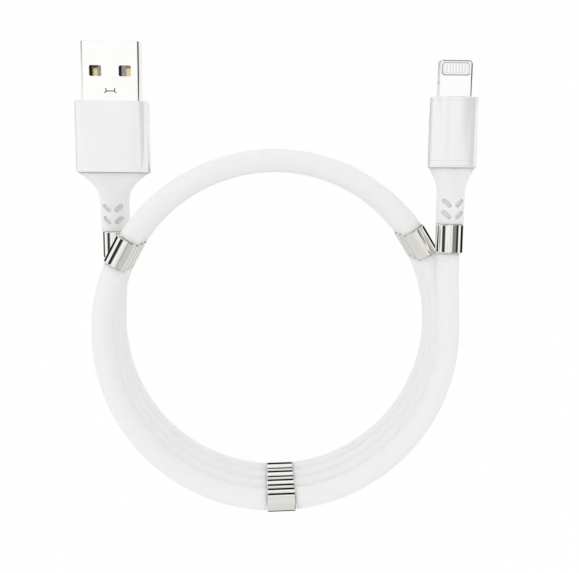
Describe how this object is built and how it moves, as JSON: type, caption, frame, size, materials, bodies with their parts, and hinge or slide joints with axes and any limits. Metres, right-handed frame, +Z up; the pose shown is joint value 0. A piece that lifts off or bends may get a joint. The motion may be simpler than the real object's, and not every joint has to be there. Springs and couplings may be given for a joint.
{
  "type": "magnetic charging cable",
  "caption": "White phone charging cable coiled into a ring that magnet sleeves hold, with a flat charger plug on one end and a slim phone plug on the other.",
  "frame": {"origin": "middle of the cable's footprint, on the table", "axes": "+Z up along the coil's axis, +Y from the coil towards both plugs' mouths, +X to the phone plug's side"},
  "size_m": [0.0814, 0.0966, 0.0201],
  "materials": {
    "cord_silicone": "smooth white silicone with a faint sheen",
    "sleeve_steel": "mirror-polished plated steel",
    "magnet": "nickel-plated sintered magnet",
    "strain_relief": "satin white moulded elastomer",
    "housing": "glossy white moulded plastic",
    "inner_mould": "plain natural plastic",
    "plug_shell": "bright nickel-plated sheet steel",
    "plug_tab": "satin stainless steel",
    "insulator": "fine-grained white plastic",
    "contact_gold": "gold-plated spring alloy",
    "wire_insulation": "thin extruded insulation",
    "circuit_board": "solder-masked glass-fibre board",
    "chip": "moulded chip package",
    "capacitor": "ceramic capacitor"
  },
  "bodies": {
    "root": {"cord": "cord_silicone", "magnet_sleeve_1": "sleeve_steel", "magnet_sleeve_2": "sleeve_steel", "magnet_sleeve_3": "sleeve_steel", "magnet_sleeve_4": "sleeve_steel", "magnet_sleeve_5": "sleeve_steel", "magnet_sleeve_6": "sleeve_steel", "magnet_sleeve_7": "sleeve_steel", "magnet_sleeve_8": "sleeve_steel", "magnet_sleeve_9": "sleeve_steel", "magnet_sleeve_10": "sleeve_steel", "ring_magnet_1": "magnet", "ring_magnet_2": "magnet", "ring_magnet_3": "magnet", "ring_magnet_4": "magnet", "ring_magnet_5": "magnet", "ring_magnet_6": "magnet", "ring_magnet_7": "magnet", "ring_magnet_8": "magnet", "ring_magnet_9": "magnet", "ring_magnet_10": "magnet", "charger_end_sleeve": "sleeve_steel", "charger_end_magnet": "magnet", "charger_strain_relief": "strain_relief", "charger_plug_housing": "housing", "charger_plug_inner_mould": "inner_mould", "charger_plug_shell": "plug_shell", "charger_plug_insulator": "insulator", "charger_plug_contacts": "contact_gold", "charger_plug_wires": "wire_insulation", "phone_end_sleeve": "sleeve_steel", "phone_end_magnet": "magnet", "phone_strain_relief": "strain_relief", "phone_plug_housing": "housing", "phone_plug_inner_mould": "inner_mould", "phone_plug_tab": "plug_tab", "phone_plug_insert": "insulator", "phone_plug_contacts": "contact_gold", "phone_plug_board": "circuit_board", "phone_plug_chip": "chip", "phone_plug_capacitors": "capacitor", "phone_plug_wires": "wire_insulation"}
  },
  "joints": []
}
